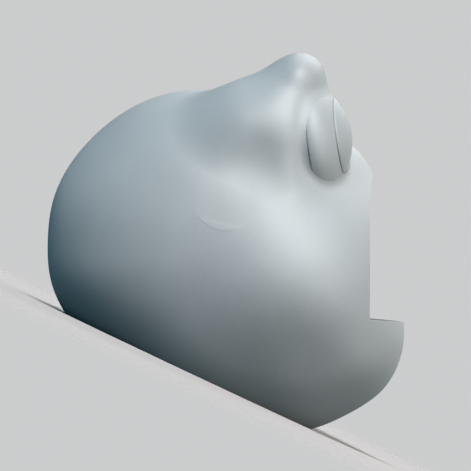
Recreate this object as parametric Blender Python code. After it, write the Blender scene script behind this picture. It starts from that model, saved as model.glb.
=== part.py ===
import math

import bmesh
import bpy
import numpy as np
from mathutils import Vector

# Driving sizes, in metres
HEAD_LENGTH = 0.285
HALF_WIDTH = 0.116
WALL = 0.003
SEAM_GAP = 0.0003
NECK_SLOPE = math.radians(25.2)
NECK_DEPTH = 0.1036
EYE_RADIUS = 0.0464
EYE_DEPTH = 0.0260
EYE_SPACING = 0.106
EYE_BACK = 0.0020
IRIS_RADIUS = 0.0300
IRIS_SIDE = 0.0005
IRIS_RISE = 0.0095
IRIS_ROOM = 0.0010
EYE_TURN = math.radians(5.0)
EYE_LIFT = math.radians(7.5)
SHIFT = 0.0037
CUT_REACH = 0.22
HOLLOW_SOFTNESS = 0.022
POCKET_ROOM = 0.0060
SHELL_COLOUR = (0.55, 0.57, 0.58)

# How finely each form is divided
OUTER_SPAN = 22
INNER_SPAN = 21
RAY_STEP = 0.0105
RAY_COUNT = 80
HALVINGS = 18
OUTER_START = 0.91
INNER_START = 0.105
PROBE = 0.0018
EYE_FACETS = 24
EYE_RINGS = 7
IRIS_RINGS = 4
EDGE_STEPS = 5

# Middle outline of the head as it is worn, from the centre of the head:
# share of the head length forward, share upward, fullness of the side there
OUTLINE = (
    (-0.477, -0.177, 2.20),
    (-0.516, -0.090, 2.20),
    (-0.526, 0.022, 2.20),
    (-0.508, 0.149, 2.20),
    (-0.463, 0.241, 2.20),
    (-0.385, 0.331, 2.20),
    (-0.275, 0.408, 2.25),
    (-0.154, 0.446, 2.30),
    (-0.036, 0.446, 2.35),
    (0.076, 0.412, 2.30),
    (0.196, 0.362, 2.10),
    (0.295, 0.314, 1.70),
    (0.336, 0.287, 1.60),
    (0.387, 0.219, 1.60),
    (0.435, 0.126, 1.85),
    (0.457, 0.028, 2.10),
    (0.468, -0.084, 2.20),
    (0.472, -0.182, 2.20),
    (0.474, -0.253, 2.20),
    (0.464, -0.303, 2.20),
    (0.446, -0.348, 2.20),
    (0.414, -0.393, 2.20),
    (0.366, -0.432, 2.20),
    (0.312, -0.463, 2.20),
    (0.213, -0.503, 2.20),
    (0.076, -0.511, 2.20),
    (-0.070, -0.488, 2.20),
    (-0.211, -0.427, 2.20),
    (-0.334, -0.331, 2.20),
    (-0.424, -0.247, 2.20),
)

# Rounded forms that grow out of the head: centre as shares of the head
# length (out, forward, up), radii as shares (out, along, across),
# lift of the long axis, turn outward, width of the soft join
RIDGE = ((0.190, 0.060, 0.328), (0.176, 0.205, 0.158), 20.0, -6.0, 0.070)
BROW = ((0.182, 0.162, 0.280), (0.166, 0.090, 0.265), 0.0, 4.0, 0.065)
LID = ((0.180, 0.182, 0.471), (0.110, 0.074, 0.078), 6.0, 4.0, 0.045)
CHEEK = ((0.196, 0.140, -0.080), (0.204, 0.225, 0.170), 0.0, 0.0, 0.120)
FLAT_FULLNESS = 2.2
EYE_PLACE = (0.220, 0.310)

# The face opening: its upright edge and the level lip, as shares
EDGE_FORWARD = 0.3755
EDGE_SWEEP = 0.016
EDGE_SWEEP_FROM = 0.056
EDGE_SWEEP_HEIGHT = 0.163
LIP_LEVEL = -0.193
LIP_DROP = math.radians(5.0)


def rounded_table(rows):
    """Angles, radii and side fullness round the head, with smooth slopes."""
    points = np.array(rows)
    forward = points[:, 0] * HEAD_LENGTH
    upward = points[:, 1] * HEAD_LENGTH
    angle = np.arctan2(upward, forward)
    order = np.argsort(angle)
    angle = angle[order]
    values = np.stack([np.hypot(forward, upward)[order], points[order, 2]], axis=1)
    count = len(angle)
    step = np.diff(np.append(angle, angle[0] + 2 * np.pi))
    rise = np.diff(np.vstack([values, values[:1]]), axis=0) / step[:, None]
    system = np.zeros((count, count))
    target = np.zeros((count, 2))
    for i in range(count):
        before = (i - 1) % count
        after = (i + 1) % count
        system[i, before] += step[i]
        system[i, i] += 2 * (step[before] + step[i])
        system[i, after] += step[before]
        target[i] = 3 * (step[i] * rise[before] + step[before] * rise[i])
    slope = np.linalg.solve(system, target)
    return angle, step, values, slope


ROUND = rounded_table(OUTLINE)


def outline_at(turn):
    """Radius of the middle outline and side fullness at each angle."""
    angle, step, values, slope = ROUND
    turn = (turn - angle[0]) % (2 * np.pi) + angle[0]
    i = np.clip(np.searchsorted(angle, turn, side="right") - 1, 0, len(angle) - 1)
    j = (i + 1) % len(angle)
    t = ((turn - angle[i]) / step[i])[:, None]
    run = step[i][:, None]
    mixed = (
        (2 * t**3 - 3 * t**2 + 1) * values[i]
        + (t**3 - 2 * t**2 + t) * run * slope[i]
        + (3 * t**2 - 2 * t**3) * values[j]
        + (t**3 - t**2) * run * slope[j]
    )
    return mixed[:, 0], mixed[:, 1]


def blend(a, b, width):
    """Nearer of two surfaces, joined by a soft fillet."""
    mix = np.clip(0.5 + 0.5 * (b - a) / width, 0, 1)
    return b * (1 - mix) + a * mix - width * mix * (1 - mix)


def swelling(point, centre, radii, lift, turn):
    """Distance to an ellipsoid whose long axis is lifted and turned outward."""
    out = point[:, 0] - centre[0]
    forward = point[:, 1] - centre[1]
    up = point[:, 2] - centre[2]
    ahead = forward * np.cos(turn) + out * np.sin(turn)
    aside = out * np.cos(turn) - forward * np.sin(turn)
    along = ahead * np.cos(lift) + up * np.sin(lift)
    across = up * np.cos(lift) - ahead * np.sin(lift)
    scaled = np.stack([aside / radii[0], along / radii[1], across / radii[2]], axis=1)
    near = np.linalg.norm(scaled, axis=1)
    steep = np.linalg.norm(scaled / np.array(radii), axis=1) + 1e-9
    return near * (near - 1) / steep


def lobe(point, form):
    """Distance to one of the rounded forms of the head."""
    centre, radii, lift, turn = form[:4]
    return swelling(
        point,
        [share * HEAD_LENGTH for share in centre],
        [share * HEAD_LENGTH for share in radii],
        math.radians(lift),
        math.radians(turn),
    )


def eye_frame():
    """Middle of one eye and its out, axis and up directions, as worn."""
    axis = Vector((
        math.sin(EYE_TURN) * math.cos(EYE_LIFT),
        math.cos(EYE_TURN) * math.cos(EYE_LIFT),
        math.sin(EYE_LIFT),
    ))
    out = Vector((math.cos(EYE_TURN), -math.sin(EYE_TURN), 0.0))
    up = out.cross(axis)
    middle = Vector((
        EYE_SPACING / 2,
        EYE_PLACE[0] * HEAD_LENGTH,
        EYE_PLACE[1] * HEAD_LENGTH,
    ))
    return middle, out, axis, up


def head_field(point):
    """Below zero inside the head form, eyes left out."""
    point = point.copy()
    point[:, 0] = np.abs(point[:, 0])
    radius = np.linalg.norm(point, axis=1) + 1e-9
    level = np.hypot(point[:, 1], point[:, 2]) / radius
    aside = point[:, 0] / radius
    reach, fullness = outline_at(np.arctan2(point[:, 2], point[:, 1]))
    power = FLAT_FULLNESS + (fullness - FLAT_FULLNESS) * level**2
    limit = ((level / reach) ** power + (aside / HALF_WIDTH) ** power) ** (-1 / power)
    body = radius - limit
    mound = blend(lobe(point, BROW), lobe(point, LID), LID[4] * HEAD_LENGTH)
    mound = blend(lobe(point, RIDGE), mound, RIDGE[4] * HEAD_LENGTH)
    body = blend(body, mound, BROW[4] * HEAD_LENGTH)
    return blend(body, lobe(point, CHEEK), CHEEK[4] * HEAD_LENGTH)


def pocket_field(point):
    """Below zero inside either eyeball and inside the bridge between them."""
    middle, _, axis, _ = eye_frame()
    mirrored = point.copy()
    mirrored[:, 0] = np.maximum(np.abs(mirrored[:, 0]), EYE_SPACING / 2)
    radii = (EYE_RADIUS, EYE_DEPTH, EYE_RADIUS)
    ball = swelling(mirrored, list(middle), radii, EYE_LIFT, EYE_TURN)
    behind = -EYE_BACK - (mirrored - np.array(middle)) @ np.array(axis)
    return np.maximum(ball, behind)


def crossing(directions, field, start, step):
    """Distance along each direction at which the field changes sign."""
    reach = np.full(len(directions), start * HEAD_LENGTH)
    step = step * HEAD_LENGTH
    first = field(directions * reach[:, None]) < 0
    found = np.zeros(len(directions), dtype=bool)
    for _ in range(RAY_COUNT):
        trial = reach + step
        same = (field(directions * trial[:, None]) < 0) == first
        found |= ~same
        reach = np.where(found, reach, trial)
    near = reach
    far = reach + step
    for _ in range(HALVINGS):
        half = (near + far) / 2
        same = (field(directions * half[:, None]) < 0) == first
        near = np.where(same, half, near)
        far = np.where(same, far, half)
    return (near + far) / 2


def steepness(directions, reach):
    """How fast the head form's field rises outward at its surface."""
    point = directions * reach[:, None]
    small = PROBE * HEAD_LENGTH
    rises = []
    for i in range(3):
        shift = np.zeros(3)
        shift[i] = small
        rise = head_field(point + shift) - head_field(point - shift)
        rises.append(rise / (2 * small))
    return np.linalg.norm(np.stack(rises, axis=1), axis=1)


def as_rested(point):
    """Worn coordinates turned so that the neck rim lies flat on the floor."""
    forward = point[1] * math.cos(NECK_SLOPE) - point[2] * math.sin(NECK_SLOPE)
    up = point[1] * math.sin(NECK_SLOPE) + point[2] * math.cos(NECK_SLOPE)
    return Vector((point[0], SHIFT - forward, up + NECK_DEPTH))


def material(name, colour, roughness):
    made = bpy.data.materials.new(name)
    made.use_nodes = True
    shader = made.node_tree.nodes["Principled BSDF"]
    shader.inputs["Base Color"].default_value = (*colour, 1.0)
    shader.inputs["Roughness"].default_value = roughness
    shader.inputs["Metallic"].default_value = 0.0
    return made


def placed(name, bm, group, coat=None):
    """A mesh with smooth shading, moved from worn to resting coordinates."""
    for vert in bm.verts:
        vert.co = as_rested(vert.co)
    bm.normal_update()
    bmesh.ops.recalc_face_normals(bm, faces=bm.faces)
    mesh = bpy.data.meshes.new(name)
    bm.to_mesh(mesh)
    bm.free()
    mesh.polygons.foreach_set("use_smooth", [True] * len(mesh.polygons))
    made = bpy.data.objects.new(name, mesh)
    group.objects.link(made)
    if coat:
        mesh.materials.append(coat)
    return made


def head_body(name, span, reach_of, group, coat=None):
    """A closed rounded body: each point of a round grid pushed to its reach."""
    bm = bmesh.new()
    bmesh.ops.create_cube(bm, size=2.0)
    bmesh.ops.subdivide_edges(bm, edges=bm.edges, cuts=span - 1, use_grid_fill=True)
    bm.verts.ensure_lookup_table()
    grid = np.array([vert.co for vert in bm.verts])
    spread = np.tan(grid * math.pi / 4)
    directions = spread / np.linalg.norm(spread, axis=1)[:, None]
    reach = reach_of(directions)
    for vert, point in zip(bm.verts, directions * reach[:, None]):
        vert.co = Vector(point)
    return placed(name, bm, group, coat)


def outer_reach(directions):
    return crossing(directions, head_field, OUTER_START, -RAY_STEP)


def inner_reach(directions):
    """Reach of the hollow: one wall inside the head form and the eyeballs."""
    wall = WALL * steepness(directions, outer_reach(directions))

    def hollow(point):
        room = POCKET_ROOM - pocket_field(point)
        return -blend(-(head_field(point) + wall), -room, HOLLOW_SOFTNESS)

    return crossing(directions, hollow, INNER_START, RAY_STEP)


def turned(name, profile, side, group, coat=None):
    """A solid of revolution about one eye's axis, from (radius, along) pairs."""
    middle, out, axis, up = eye_frame()
    bm = bmesh.new()
    verts = [bm.verts.new((radius, 0.0, along)) for radius, along in profile]
    edges = [bm.edges.new(pair) for pair in zip(verts, verts[1:])]
    bmesh.ops.spin(
        bm,
        geom=verts + edges,
        cent=(0, 0, 0),
        axis=(0, 0, 1),
        angle=2 * math.pi,
        steps=EYE_FACETS,
        use_merge=True,
    )
    bmesh.ops.remove_doubles(bm, verts=bm.verts, dist=0.00001)
    for vert in bm.verts:
        spot = middle + out * vert.co.x + up * vert.co.y + axis * vert.co.z
        vert.co = Vector((spot.x * side, spot.y, spot.z))
    return placed(name, bm, group, coat)


def dome_height(out, room):
    """Height of the eyeball's front, with some room round it, off its axis."""
    share = out / (EYE_RADIUS + room)
    return (EYE_DEPTH + room) * math.sqrt(1 - share**2)


def iris_top():
    """Height of the iris rim above the middle of the eyeball."""
    return dome_height(IRIS_RADIUS, 2 * SEAM_GAP) + IRIS_SIDE


def eyeball_profile(room):
    """Front dome of the eyeball down to its flat back, from pole to middle."""
    radius = EYE_RADIUS + room
    depth = EYE_DEPTH + room
    back = -EYE_BACK - room
    start = math.pi / 2
    end = math.asin(back / depth)
    pairs = []
    for i in range(EYE_RINGS + 1):
        angle = start + (end - start) * i / EYE_RINGS
        pairs.append((radius * math.cos(angle), depth * math.sin(angle)))
    pairs[0] = (0.0, depth)
    pairs.append((0.0, back))
    return pairs


def socket_profile():
    """The eyeball's room plus a straight clearing ahead of the iris."""
    rim = IRIS_RADIUS + IRIS_ROOM
    top = iris_top() + IRIS_RISE + IRIS_ROOM
    pairs = [(0.0, top), (rim, top), (rim, dome_height(rim, SEAM_GAP))]
    dome = eyeball_profile(SEAM_GAP)
    pairs.extend(pair for pair in dome if pair[0] > rim + IRIS_ROOM / 2)
    pairs.append(dome[-1])
    return pairs


def iris_profile():
    """Raised lens: domed front, short upright side, back hugging the eyeball."""
    curve = (IRIS_RADIUS**2 + IRIS_RISE**2) / (2 * IRIS_RISE)
    opening = math.asin(IRIS_RADIUS / curve)
    top = iris_top() + IRIS_RISE
    pairs = []
    for i in range(IRIS_RINGS + 1):
        angle = opening * i / IRIS_RINGS
        pairs.append((curve * math.sin(angle), top - curve * (1 - math.cos(angle))))
    for i in range(IRIS_RINGS, -1, -1):
        out = IRIS_RADIUS * i / IRIS_RINGS
        pairs.append((out, dome_height(out, 2 * SEAM_GAP)))
    return pairs


def neck_cutter(group):
    """Everything below the floor that the neck rim rests on."""
    bm = bmesh.new()
    bmesh.ops.create_cube(bm, size=2 * CUT_REACH)
    bmesh.ops.translate(bm, verts=bm.verts, vec=(0.0, 0.0, -CUT_REACH))
    mesh = bpy.data.meshes.new("neck_cutter")
    bm.to_mesh(mesh)
    bm.free()
    made = bpy.data.objects.new("neck_cutter", mesh)
    group.objects.link(made)
    return made


def face_cutter(group):
    """The face opening, seen from the side, carried across the whole head."""
    length = HEAD_LENGTH
    corner = (EDGE_FORWARD * length, LIP_LEVEL * length)
    far = CUT_REACH
    lip_drop = math.tan(LIP_DROP) * (far - corner[0])
    side = [(far, corner[1] - lip_drop), corner]
    for i in range(EDGE_STEPS + 1):
        rise = i / EDGE_STEPS
        forward = EDGE_FORWARD + EDGE_SWEEP * rise**2
        upward = EDGE_SWEEP_FROM + EDGE_SWEEP_HEIGHT * rise
        side.append((forward * length, upward * length))
    above = side[-1][1] + EDGE_SWEEP * length
    side.append((side[-1][0] + EDGE_SWEEP * length, above))
    side.append((far, above))
    bm = bmesh.new()
    verts = [bm.verts.new((-far, forward, up)) for forward, up in side]
    face = bm.faces.new(verts)
    grown_face = bmesh.ops.extrude_face_region(bm, geom=[face])
    moved = [item for item in grown_face["geom"] if isinstance(item, bmesh.types.BMVert)]
    bmesh.ops.translate(bm, verts=moved, vec=(2 * far, 0.0, 0.0))
    return placed("face_cutter", bm, group)


def subtract(body, cutter):
    cut = body.modifiers.new(cutter.name, "BOOLEAN")
    cut.operation = "DIFFERENCE"
    cut.solver = "EXACT"
    cut.object = cutter


for old in list(bpy.data.objects):
    bpy.data.objects.remove(old, do_unlink=True)

mask = bpy.data.collections.new("frog_mask")
bpy.context.scene.collection.children.link(mask)
cutters = bpy.data.collections.new("cutters")
bpy.context.scene.collection.children.link(cutters)
cutters.hide_render = True

shell_coat = material("shell_coat", SHELL_COLOUR, 0.55)
eyeball_coat = material("eyeball_coat", SHELL_COLOUR, 0.50)
iris_coat = material("iris_coat", SHELL_COLOUR, 0.45)

shell = head_body("mask_shell", OUTER_SPAN, outer_reach, mask, shell_coat)
hollow_body = head_body("head_hollow", INNER_SPAN, inner_reach, cutters)
subtract(shell, hollow_body)
for side, word in ((-1, "right"), (1, "left")):
    socket = turned("socket_" + word, socket_profile(), side, cutters)
    subtract(shell, socket)
subtract(shell, face_cutter(cutters))
subtract(shell, neck_cutter(cutters))
for cutter in cutters.objects:
    cutter.display_type = "WIRE"
    cutter.hide_render = True

for side, word in ((-1, "right"), (1, "left")):
    turned("eyeball_" + word, eyeball_profile(0.0), side, mask, eyeball_coat)
    turned("iris_" + word, iris_profile(), side, mask, iris_coat)
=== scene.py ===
import math

import bmesh
import bpy
import numpy as np
from mathutils import Matrix, Vector


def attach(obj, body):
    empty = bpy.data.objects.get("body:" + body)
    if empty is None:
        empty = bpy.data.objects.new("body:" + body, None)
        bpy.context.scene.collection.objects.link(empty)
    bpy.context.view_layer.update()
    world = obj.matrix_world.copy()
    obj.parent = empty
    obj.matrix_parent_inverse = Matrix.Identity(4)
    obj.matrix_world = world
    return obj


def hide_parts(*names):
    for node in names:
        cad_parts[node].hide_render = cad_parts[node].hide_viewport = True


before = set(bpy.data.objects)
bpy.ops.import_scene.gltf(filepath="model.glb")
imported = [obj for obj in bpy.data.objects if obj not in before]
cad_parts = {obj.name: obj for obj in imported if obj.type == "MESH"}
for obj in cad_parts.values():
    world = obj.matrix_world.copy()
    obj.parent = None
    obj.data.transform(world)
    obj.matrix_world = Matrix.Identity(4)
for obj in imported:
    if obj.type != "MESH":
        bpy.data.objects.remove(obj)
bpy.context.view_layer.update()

# THE HEAD FORM
# One thin moulded shell in the shape of a frog's head. All sizes are in
# metres as the mask is worn, from the middle of the head: out to the side,
# forward and up. On the floor it rests tipped back on its neck rim.
HEAD_LENGTH = 0.285
HALF_WIDTH = 0.116
WALL = 0.003
NECK_SLOPE = math.radians(25.2)
NECK_DEPTH = 0.1036
SHIFT = 0.0037
OUTLINE = (
    (-0.477, -0.177, 2.20),
    (-0.516, -0.090, 2.20),
    (-0.526, 0.022, 2.20),
    (-0.508, 0.149, 2.20),
    (-0.463, 0.241, 2.20),
    (-0.385, 0.331, 2.20),
    (-0.275, 0.408, 2.25),
    (-0.154, 0.446, 2.30),
    (-0.036, 0.446, 2.35),
    (0.076, 0.412, 2.30),
    (0.196, 0.362, 2.10),
    (0.295, 0.314, 1.70),
    (0.336, 0.287, 1.60),
    (0.387, 0.219, 1.60),
    (0.435, 0.126, 1.85),
    (0.457, 0.028, 2.10),
    (0.468, -0.084, 2.20),
    (0.472, -0.182, 2.20),
    (0.474, -0.253, 2.20),
    (0.464, -0.303, 2.20),
    (0.446, -0.348, 2.20),
    (0.414, -0.393, 2.20),
    (0.366, -0.432, 2.20),
    (0.312, -0.463, 2.20),
    (0.213, -0.503, 2.20),
    (0.076, -0.511, 2.20),
    (-0.070, -0.488, 2.20),
    (-0.211, -0.427, 2.20),
    (-0.334, -0.331, 2.20),
    (-0.424, -0.247, 2.20),
)
RIDGE = ((0.190, 0.060, 0.328), (0.176, 0.205, 0.158), 20.0, -6.0)
RIDGE_JOIN = 0.070
BROW = ((0.182, 0.144, 0.270), (0.168, 0.080, 0.228), 0.0, 4.0)
BROW_JOIN = 0.065
LID = ((0.176, 0.181, 0.479), (0.138, 0.072, 0.073), 30.0, 4.0)
LID_JOIN = 0.055
CHEEK = ((0.196, 0.140, -0.080), (0.204, 0.225, 0.170), 0.0, 0.0)
CHEEK_JOIN = 0.120


def closed_curve(rows):
    """Radius and side fullness all the way round the head's middle outline."""
    points = np.array(rows)
    forward = points[:, 0] * HEAD_LENGTH
    upward = points[:, 1] * HEAD_LENGTH
    angle = np.arctan2(upward, forward)
    order = np.argsort(angle)
    angle = angle[order]
    values = np.stack([np.hypot(forward, upward)[order], points[order, 2]], axis=1)
    count = len(angle)
    step = np.diff(np.append(angle, angle[0] + 2 * np.pi))
    rise = np.diff(np.vstack([values, values[:1]]), axis=0) / step[:, None]
    system = np.zeros((count, count))
    target = np.zeros((count, 2))
    for i in range(count):
        before = (i - 1) % count
        after = (i + 1) % count
        system[i, before] += step[i]
        system[i, i] += 2 * (step[before] + step[i])
        system[i, after] += step[before]
        target[i] = 3 * (step[i] * rise[before] + step[before] * rise[i])
    slope = np.linalg.solve(system, target)

    def at(turn):
        turn = (turn - angle[0]) % (2 * np.pi) + angle[0]
        i = np.clip(np.searchsorted(angle, turn, side="right") - 1, 0, count - 1)
        j = (i + 1) % count
        t = ((turn - angle[i]) / step[i])[:, None]
        run = step[i][:, None]
        mixed = (
            (2 * t**3 - 3 * t**2 + 1) * values[i]
            + (t**3 - 2 * t**2 + t) * run * slope[i]
            + (3 * t**2 - 2 * t**3) * values[j]
            + (t**3 - t**2) * run * slope[j]
        )
        return mixed[:, 0], mixed[:, 1]

    return at


outline_at = closed_curve(OUTLINE)


def soft_join(a, b, width):
    mix = np.clip(0.5 + 0.5 * (b - a) / width, 0, 1)
    return b * (1 - mix) + a * mix - width * mix * (1 - mix)


def egg(point, centre, radii, lift, turn):
    """Distance to an ellipsoid whose long axis is lifted and turned outward."""
    away = point - np.array(centre)
    ahead = away[:, 1] * np.cos(turn) + away[:, 0] * np.sin(turn)
    aside = away[:, 0] * np.cos(turn) - away[:, 1] * np.sin(turn)
    along = ahead * np.cos(lift) + away[:, 2] * np.sin(lift)
    across = away[:, 2] * np.cos(lift) - ahead * np.sin(lift)
    scaled = np.stack([aside, along, across], axis=1) / np.array(radii)
    near = np.linalg.norm(scaled, axis=1)
    steep = np.linalg.norm(scaled / np.array(radii), axis=1) + 1e-9
    return near * (near - 1) / steep


def form(point, shares):
    centre, radii, lift, turn = shares
    return egg(
        point,
        [share * HEAD_LENGTH for share in centre],
        [share * HEAD_LENGTH for share in radii],
        math.radians(lift),
        math.radians(turn),
    )


def head_field(point):
    """Below zero inside the head form, eyes left out."""
    point = point.copy()
    point[:, 0] = np.abs(point[:, 0])
    radius = np.linalg.norm(point, axis=1) + 1e-9
    level = np.hypot(point[:, 1], point[:, 2]) / radius
    aside = point[:, 0] / radius
    reach, fullness = outline_at(np.arctan2(point[:, 2], point[:, 1]))
    power = 2.2 + (fullness - 2.2) * level**2
    limit = ((level / reach) ** power + (aside / HALF_WIDTH) ** power) ** (-1 / power)
    body = radius - limit
    mound = soft_join(form(point, BROW), form(point, LID), LID_JOIN * HEAD_LENGTH)
    mound = soft_join(form(point, RIDGE), mound, RIDGE_JOIN * HEAD_LENGTH)
    body = soft_join(body, mound, BROW_JOIN * HEAD_LENGTH)
    return soft_join(body, form(point, CHEEK), CHEEK_JOIN * HEAD_LENGTH)


def at_rest(point):
    """Worn coordinates turned so that the neck rim lies flat on the floor."""
    forward = point[1] * math.cos(NECK_SLOPE) - point[2] * math.sin(NECK_SLOPE)
    up = point[1] * math.sin(NECK_SLOPE) + point[2] * math.cos(NECK_SLOPE)
    return Vector((point[0], SHIFT - forward, up + NECK_DEPTH))


def finished(name, bm, coat):
    for vert in bm.verts:
        vert.co = at_rest(vert.co)
    bm.normal_update()
    bmesh.ops.recalc_face_normals(bm, faces=bm.faces)
    mesh = bpy.data.meshes.new(name)
    bm.to_mesh(mesh)
    bm.free()
    mesh.polygons.foreach_set("use_smooth", [True] * len(mesh.polygons))
    mesh.materials.append(coat)
    made = bpy.data.objects.new(name, mesh)
    bpy.context.scene.collection.objects.link(made)
    return made


def crossing(directions, field, start, step, count):
    """Distance along each direction at which the field changes sign."""
    reach = np.full(len(directions), start)
    first = field(directions * reach[:, None]) < 0
    found = np.zeros(len(directions), dtype=bool)
    for _ in range(count):
        trial = reach + step
        found |= (field(directions * trial[:, None]) < 0) != first
        reach = np.where(found, reach, trial)
    near = reach
    far = reach + step
    for _ in range(16):
        half = (near + far) / 2
        same = (field(directions * half[:, None]) < 0) == first
        near = np.where(same, half, near)
        far = np.where(same, far, half)
    return (near + far) / 2


def round_body(name, span, reach_of, coat):
    bm = bmesh.new()
    bmesh.ops.create_cube(bm, size=2.0)
    bmesh.ops.subdivide_edges(bm, edges=bm.edges, cuts=span - 1, use_grid_fill=True)
    grid = np.array([vert.co for vert in bm.verts])
    spread = np.tan(grid * math.pi / 4)
    directions = spread / np.linalg.norm(spread, axis=1)[:, None]
    points = directions * reach_of(directions)[:, None]
    for vert, point in zip(bm.verts, points):
        vert.co = Vector(point)
    return finished(name, bm, coat)


# THE COAT
# Smooth satin grey moulded plastic: a cool pale grey with a very fine grain,
# slow cloudy changes of tone, and rims that light catches as if rounded.


EYE_SPOT = (0.053, 0.0155, 0.2103)


def coat(name, base, roughness, grain, sharp_eyes=False):
    made = bpy.data.materials.new(name)
    made.use_nodes = True
    nodes = made.node_tree.nodes
    links = made.node_tree.links
    shader = nodes["Principled BSDF"]
    place = nodes.new("ShaderNodeTexCoord")

    def noise(scale, detail):
        node = nodes.new("ShaderNodeTexNoise")
        node.inputs["Scale"].default_value = scale
        node.inputs["Detail"].default_value = detail
        node.inputs["Roughness"].default_value = 0.6
        links.new(place.outputs["Object"], node.inputs["Vector"])
        return node.outputs["Fac"]

    def between(value, low, high):
        node = nodes.new("ShaderNodeMapRange")
        node.inputs["From Min"].default_value = 0.3
        node.inputs["From Max"].default_value = 0.7
        node.inputs["To Min"].default_value = low
        node.inputs["To Max"].default_value = high
        links.new(value, node.inputs["Value"])
        return node.outputs["Result"]

    cloud = noise(14.0, 3.0)
    speck = noise(420.0, 2.0)
    peel = noise(1300.0, 2.0)
    tone = nodes.new("ShaderNodeMix")
    tone.data_type = "RGBA"
    tone.inputs["A"].default_value = (*[part * 0.955 for part in base], 1.0)
    tone.inputs["B"].default_value = (*[part * 1.045 for part in base], 1.0)
    blend = nodes.new("ShaderNodeMath")
    blend.operation = "MULTIPLY_ADD"
    blend.inputs[1].default_value = 0.35
    links.new(between(speck, 0.0, 1.0), blend.inputs[0])
    links.new(between(cloud, 0.0, 0.65), blend.inputs[2])
    links.new(blend.outputs[0], tone.inputs["Factor"])
    links.new(tone.outputs["Result"], shader.inputs["Base Color"])
    links.new(between(cloud, roughness - 0.05, roughness + 0.05), shader.inputs["Roughness"])
    rim = nodes.new("ShaderNodeBevel")
    rim.samples = 6
    rim.inputs["Radius"].default_value = 0.0009
    if sharp_eyes:
        mirrored = nodes.new("ShaderNodeVectorMath")
        mirrored.operation = "ABSOLUTE"
        away = nodes.new("ShaderNodeVectorMath")
        away.operation = "DISTANCE"
        away.inputs[1].default_value = EYE_SPOT
        clear = nodes.new("ShaderNodeMapRange")
        clear.inputs["From Min"].default_value = 0.052
        clear.inputs["From Max"].default_value = 0.056
        clear.inputs["To Min"].default_value = 0.0
        clear.inputs["To Max"].default_value = 0.0009
        links.new(place.outputs["Object"], mirrored.inputs[0])
        links.new(mirrored.outputs["Vector"], away.inputs[0])
        links.new(away.outputs["Value"], clear.inputs["Value"])
        links.new(clear.outputs["Result"], rim.inputs["Radius"])
    bump = nodes.new("ShaderNodeBump")
    bump.inputs["Strength"].default_value = grain
    bump.inputs["Distance"].default_value = 0.0001
    links.new(peel, bump.inputs["Height"])
    links.new(rim.outputs["Normal"], bump.inputs["Normal"])
    links.new(bump.outputs["Normal"], shader.inputs["Normal"])
    shader.inputs["Specular IOR Level"].default_value = 0.5
    return made


shell_coat = coat("shell_coat", (0.55, 0.575, 0.585), 0.50, 0.25, True)
inner_coat = coat("inner_coat", (0.46, 0.48, 0.485), 0.68, 0.5)
eyeball_coat = coat("eyeball_coat", (0.55, 0.575, 0.585), 0.48, 0.15)
iris_coat = coat("iris_coat", (0.55, 0.575, 0.585), 0.46, 0.12)
nodes = shell_coat.node_tree.nodes
links = shell_coat.node_tree.links
split = nodes.new("ShaderNodeSeparateXYZ")
flat = nodes.new("ShaderNodeCombineXYZ")
links.new(nodes["Texture Coordinate"].outputs["Object"], split.inputs[0])
links.new(split.outputs["Y"], flat.inputs["Y"])
links.new(split.outputs["Z"], flat.inputs["Z"])
away = nodes.new("ShaderNodeVectorMath")
away.operation = "DISTANCE"
away.inputs[1].default_value = (0.0, 0.0279, 0.1381)
links.new(flat.outputs["Vector"], away.inputs[0])
ledge = nodes.new("ShaderNodeMapRange")
ledge.interpolation_type = "SMOOTHSTEP"
ledge.inputs["From Min"].default_value = 0.0257
ledge.inputs["From Max"].default_value = 0.0272
ledge.inputs["To Min"].default_value = 1.0
ledge.inputs["To Max"].default_value = 0.0
links.new(away.outputs["Value"], ledge.inputs["Value"])
lower = nodes.new("ShaderNodeVectorMath")
lower.operation = "DOT_PRODUCT"
lower.inputs[1].default_value = (0.0, -0.1868, -0.9842)
links.new(flat.outputs["Vector"], lower.inputs[0])
below = nodes.new("ShaderNodeMapRange")
below.interpolation_type = "SMOOTHSTEP"
below.inputs["From Min"].default_value = -0.1229
below.inputs["From Max"].default_value = -0.1182
links.new(lower.outputs["Value"], below.inputs["Value"])
both = nodes.new("ShaderNodeMath")
both.operation = "MULTIPLY"
links.new(ledge.outputs["Result"], both.inputs[0])
links.new(below.outputs["Result"], both.inputs[1])
crease = nodes.new("ShaderNodeBump")
crease.inputs["Distance"].default_value = 0.00012
links.new(both.outputs[0], crease.inputs["Height"])
links.new(nodes["Bump"].outputs["Normal"], crease.inputs["Normal"])
links.new(crease.outputs["Normal"], nodes["Principled BSDF"].inputs["Normal"])

# THE EYES
# Two flattened balls set in the head's eye mounds, each with a raised lens
# on its front. The sockets behind them are cut to the same curve.
EYE_RADIUS = 0.0464
EYE_DEPTH = 0.0260
EYE_SPACING = 0.106
EYE_BACK = 0.0020
EYE_PLACE = (0.220, 0.310)
EYE_TURN = math.radians(5.0)
EYE_LIFT = math.radians(7.5)
IRIS_RADIUS = 0.0300
IRIS_RIM = 0.0210
IRIS_RISE = 0.0095
SEAM = 0.00004
SINK = 0.0006
eye_axis = Vector((
    math.sin(EYE_TURN) * math.cos(EYE_LIFT),
    math.cos(EYE_TURN) * math.cos(EYE_LIFT),
    math.sin(EYE_LIFT),
))
eye_out = Vector((math.cos(EYE_TURN), -math.sin(EYE_TURN), 0.0))
eye_up = eye_out.cross(eye_axis)
eye_middle = Vector((
    EYE_SPACING / 2,
    EYE_PLACE[0] * HEAD_LENGTH,
    EYE_PLACE[1] * HEAD_LENGTH,
))


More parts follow.
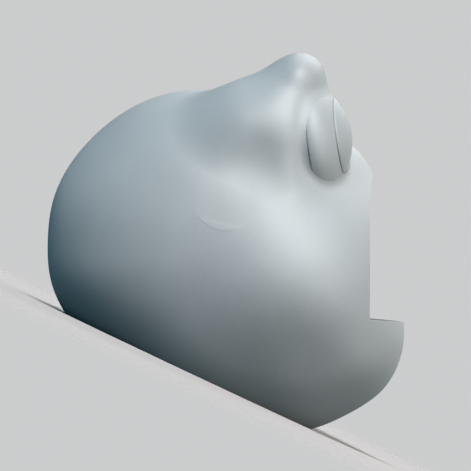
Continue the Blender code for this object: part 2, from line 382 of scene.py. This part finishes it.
def turned(name, profile, side, coat):
    """A solid of revolution about one eye's axis, from (radius, along) pairs."""
    bm = bmesh.new()
    verts = [bm.verts.new((radius, 0.0, along)) for radius, along in profile]
    edges = [bm.edges.new(pair) for pair in zip(verts, verts[1:])]
    bmesh.ops.spin(
        bm,
        geom=verts + edges,
        cent=(0, 0, 0),
        axis=(0, 0, 1),
        angle=2 * math.pi,
        steps=96,
        use_merge=True,
    )
    bmesh.ops.remove_doubles(bm, verts=bm.verts, dist=0.000005)
    for vert in bm.verts:
        spot = eye_middle + eye_out * vert.co.x + eye_up * vert.co.y
        spot += eye_axis * vert.co.z
        vert.co = Vector((spot.x * side, spot.y, spot.z))
    return finished(name, bm, coat)


def eyeball_profile(room, rings):
    radius = EYE_RADIUS + room
    depth = EYE_DEPTH + room
    back = -EYE_BACK - room
    start = math.pi / 2
    end = math.asin(back / depth)
    angles = [start + (end - start) * i / rings for i in range(rings + 1)]
    pairs = [(radius * math.cos(a), depth * math.sin(a)) for a in angles]
    pairs[0] = (0.0, depth)
    pairs.append((0.0, back))
    return pairs


def socket_profile():
    rim = IRIS_RADIUS + 0.0002
    top = IRIS_RIM + IRIS_RISE + 0.001
    shoulder = (EYE_DEPTH + SEAM) * math.sqrt(1 - (rim / (EYE_RADIUS + SEAM)) ** 2)
    pairs = [(0.0, top), (rim, top), (rim, shoulder)]
    dome = eyeball_profile(SEAM, 40)
    pairs.extend(pair for pair in dome if pair[0] > rim + 0.0003)
    pairs.append(dome[-1])
    return pairs


def iris_profile():
    curve = (IRIS_RADIUS**2 + IRIS_RISE**2) / (2 * IRIS_RISE)
    opening = math.asin(IRIS_RADIUS / curve)
    rings = 16
    pairs = []
    for i in range(rings + 1):
        angle = opening * i / rings
        along = IRIS_RIM + IRIS_RISE - curve * (1 - math.cos(angle))
        pairs.append((curve * math.sin(angle), along))
    for i in range(rings, -1, -1):
        out = IRIS_RADIUS * i / rings
        share = out / (EYE_RADIUS + 2 * SEAM)
        pairs.append((out, (EYE_DEPTH + 2 * SEAM) * math.sqrt(1 - share**2)))
    return pairs


for side, word in ((-1, "right"), (1, "left")):
    eyeball = turned("eyeball_fine_" + word, eyeball_profile(0.0, 32), side, eyeball_coat)
    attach(eyeball, "root")
    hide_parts("eyeball_" + word)
    iris = turned("iris_fine_" + word, iris_profile(), side, iris_coat)
    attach(iris, "root")
    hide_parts("iris_" + word)

# THE SHELL
# The head form made fine, hollowed by one wall, with the two eye sockets,
# the wide face opening across the front and the flat neck rim cut out of it.
EDGE_FORWARD = 0.3755
EDGE_SWEEP = 0.016
EDGE_SWEEP_FROM = 0.056
EDGE_SWEEP_HEIGHT = 0.163
LIP_LEVEL = -0.193
LIP_DROP = math.radians(5.0)
EAR_PLACE = (-0.0072, 0.0416)
EAR_RADIUS = 0.0265
EAR_DEPTH = 0.0008


def skin(point):
    """The head form drawn up softly onto the eyeballs all round."""
    mirrored = point.copy()
    mirrored[:, 0] = np.abs(mirrored[:, 0])
    radii = (EYE_RADIUS, EYE_DEPTH, EYE_RADIUS)
    ball = egg(mirrored, eye_middle, radii, EYE_LIFT, EYE_TURN)
    ahead = (point[:, 1] - EAR_PLACE[0]) / EAR_RADIUS
    above = (point[:, 2] - EAR_PLACE[1]) / EAR_RADIUS
    dent = EAR_DEPTH * np.clip(1 - ahead**2 - above**2, 0, 1) * (1 - above) / 2
    dented = head_field(point) + np.where(mirrored[:, 0] > HALF_WIDTH / 2, dent, 0)
    return soft_join(dented, ball + SINK, 0.006)


def outer_reach(directions):
    return crossing(directions, skin, 0.26, -0.003, 75)


def inner_reach(directions):
    bare = crossing(directions, head_field, 0.26, -0.003, 75)
    point = directions * bare[:, None]
    small = 0.0005
    rises = []
    for i in range(3):
        shift = np.zeros(3)
        shift[i] = small
        rise = head_field(point + shift) - head_field(point - shift)
        rises.append(rise / (2 * small))
    wall = WALL * np.linalg.norm(np.stack(rises, axis=1), axis=1)

    def hollow(point):
        mirrored = point.copy()
        mirrored[:, 0] = np.maximum(np.abs(mirrored[:, 0]), EYE_SPACING / 2)
        radii = (EYE_RADIUS, EYE_DEPTH, EYE_RADIUS)
        ball = egg(mirrored, eye_middle, radii, EYE_LIFT, EYE_TURN)
        behind = -EYE_BACK - (mirrored - np.array(eye_middle)) @ np.array(eye_axis)
        pocket = 0.0060 - np.maximum(ball, behind)
        return -soft_join(-(head_field(point) + wall), -pocket, 0.022)

    return crossing(directions, hollow, 0.03, 0.003, 60)


def opening_cutter():
    """The face opening, seen from the side, carried across the whole head."""
    corner = (EDGE_FORWARD * HEAD_LENGTH, LIP_LEVEL * HEAD_LENGTH)
    far = 0.22
    side = [(far, corner[1] - math.tan(LIP_DROP) * (far - corner[0])), corner]
    for i in range(17):
        rise = i / 16
        forward = EDGE_FORWARD + EDGE_SWEEP * rise**2
        upward = EDGE_SWEEP_FROM + EDGE_SWEEP_HEIGHT * rise
        side.append((forward * HEAD_LENGTH, upward * HEAD_LENGTH))
    above = side[-1][1] + EDGE_SWEEP * HEAD_LENGTH
    side.append((side[-1][0] + EDGE_SWEEP * HEAD_LENGTH, above))
    side.append((far, above))
    bm = bmesh.new()
    face = bm.faces.new([bm.verts.new((-far, forward, up)) for forward, up in side])
    grown = bmesh.ops.extrude_face_region(bm, geom=[face])
    moved = [item for item in grown["geom"] if isinstance(item, bmesh.types.BMVert)]
    bmesh.ops.translate(bm, verts=moved, vec=(2 * far, 0.0, 0.0))
    return finished("opening_cutter", bm, shell_coat)


def floor_cutter():
    bm = bmesh.new()
    bmesh.ops.create_cube(bm, size=1.0)
    bmesh.ops.translate(bm, verts=bm.verts, vec=(0.0, 0.0, -0.5))
    mesh = bpy.data.meshes.new("floor_cutter")
    bm.to_mesh(mesh)
    bm.free()
    mesh.materials.append(shell_coat)
    made = bpy.data.objects.new("floor_cutter", mesh)
    bpy.context.scene.collection.objects.link(made)
    return made


shell = round_body("mask_shell_fine", 104, outer_reach, shell_coat)
cutters = [round_body("hollow_cutter", 72, inner_reach, inner_coat)]
cutters.append(turned("socket_cutter_right", socket_profile(), -1, shell_coat))
cutters.append(turned("socket_cutter_left", socket_profile(), 1, shell_coat))
cutters.append(opening_cutter())
cutters.append(floor_cutter())
for cutter in cutters:
    cut = shell.modifiers.new(cutter.name, "BOOLEAN")
    cut.operation = "DIFFERENCE"
    cut.solver = "EXACT"
    cut.material_mode = "TRANSFER"
    cut.object = cutter
evaluated = shell.evaluated_get(bpy.context.evaluated_depsgraph_get())
carved = bpy.data.meshes.new_from_object(evaluated)
shell.modifiers.clear()
shell.data = carved
for cutter in cutters:
    bpy.data.objects.remove(cutter, do_unlink=True)
carved.polygons.foreach_set("use_smooth", [True] * len(carved.polygons))
carved.set_sharp_from_angle(angle=math.radians(40))
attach(shell, "root")
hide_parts("mask_shell")

# THE STUDIO
# A plain pale floor that fades into a plain pale backdrop. A soft key from
# the upper front on one side, a fill from the other, and on each side a low
# front light, a cool light from behind and two lights seen only as sheen.
FORWARD = Vector((0.0, -math.cos(NECK_SLOPE), math.sin(NECK_SLOPE)))
UPWARD = Vector((0.0, math.sin(NECK_SLOPE), math.cos(NECK_SLOPE)))
bm = bmesh.new()
bmesh.ops.create_circle(bm, cap_ends=True, radius=6.0, segments=96)
mesh = bpy.data.meshes.new("floor")
bm.to_mesh(mesh)
bm.free()
floor = bpy.data.objects.new("floor", mesh)
bpy.context.scene.collection.objects.link(floor)

paint = bpy.data.materials.new("floor_paint")
paint.use_nodes = True
nodes = paint.node_tree.nodes
links = paint.node_tree.links
shader = nodes["Principled BSDF"]
shader.inputs["Roughness"].default_value = 0.95
shader.inputs["Specular IOR Level"].default_value = 0.0
seen = nodes.new("ShaderNodeLightPath")
tint = nodes.new("ShaderNodeMix")
tint.data_type = "RGBA"
tint.inputs["A"].default_value = (0.050, 0.076, 0.086, 1.0)
tint.inputs["B"].default_value = (0.745, 0.68, 0.655, 1.0)
links.new(seen.outputs["Is Camera Ray"], tint.inputs["Factor"])
links.new(tint.outputs["Result"], shader.inputs["Base Color"])
place = nodes.new("ShaderNodeTexCoord")
span = nodes.new("ShaderNodeVectorMath")
span.operation = "LENGTH"
fade = nodes.new("ShaderNodeMapRange")
fade.inputs["From Min"].default_value = 0.45
fade.inputs["From Max"].default_value = 1.4
fade.inputs["To Min"].default_value = 1.0
fade.inputs["To Max"].default_value = 0.0
fade.interpolation_type = "SMOOTHSTEP"
links.new(place.outputs["Object"], span.inputs[0])
links.new(span.outputs["Value"], fade.inputs["Value"])
links.new(fade.outputs["Result"], shader.inputs["Alpha"])
floor.data.materials.append(paint)

world = bpy.data.worlds.new("studio")
bpy.context.scene.world = world
world.use_nodes = True
nodes = world.node_tree.nodes
links = world.node_tree.links
ground = nodes["Background"]
seen = nodes.new("ShaderNodeLightPath")
tint = nodes.new("ShaderNodeMix")
tint.data_type = "RGBA"
tint.inputs["A"].default_value = (0.032, 0.047, 0.052, 1.0)
tint.inputs["B"].default_value = (0.60, 0.605, 0.61, 1.0)
links.new(seen.outputs["Is Camera Ray"], tint.inputs["Factor"])
links.new(tint.outputs["Result"], ground.inputs["Color"])


def soft_light(name, out, forward, up, strength, colour, spread, sheen=False):
    """A broad light far off, in the worn mask's directions."""
    lamp = bpy.data.lights.new(name, "SUN")
    lamp.energy = strength
    lamp.color = colour
    lamp.angle = math.radians(spread)
    made = bpy.data.objects.new(name, lamp)
    toward = Vector((out, 0.0, 0.0)) + FORWARD * forward + UPWARD * up
    made.rotation_euler = toward.to_track_quat("Z", "Y").to_euler()
    made.visible_diffuse = not sheen
    made.visible_glossy = sheen
    bpy.context.scene.collection.objects.link(made)


soft_light("key", -0.57, 0.16, 0.805, 2.42, (0.95, 0.99, 1.02), 26)
soft_light("fill", 0.96, 0.22, 0.12, 2.1, (0.95, 0.99, 1.02), 50)
for out, share in ((-1, 1.0), (1, 0.25)):
    soft_light("front", out * 0.45, 0.89, -0.10, 0.95 * share, (1.0, 0.98, 0.92), 50)
    soft_light("rim", out * 0.50, -0.70, 0.55, 0.33, (0.22, 0.70, 1.0), 60)
    soft_light("sheen", out * 0.69, 0.33, 0.64, 6.3 * share, (1.0, 0.98, 0.97), 50, True)
    soft_light("glow", out * 0.68, 0.73, -0.10, 1.2 * share, (1.0, 1.0, 0.98), 50, True)
bpy.context.scene.view_settings.view_transform = "Standard"

# THE CAMERA
# Side-on and level, turned with the mask, far enough off to see no
# perspective, with the photograph's frame 0.377 m wide at the mask.
lens = bpy.data.cameras.new("camera")
lens.sensor_width = 36.0
lens.lens = 955.0
lens.clip_start = 0.1
lens.clip_end = 100.0
camera = bpy.data.objects.new("camera", lens)
bpy.context.scene.collection.objects.link(camera)
ahead = Vector((1.0, 0.0, 0.0))
sideways = ahead.cross(UPWARD)
camera.rotation_mode = "QUATERNION"
camera.rotation_quaternion = Matrix((sideways, UPWARD, -ahead)).transposed().to_quaternion()
camera.location = Vector((-10.0, 0.0083, 0.1143))
bpy.context.scene.camera = camera
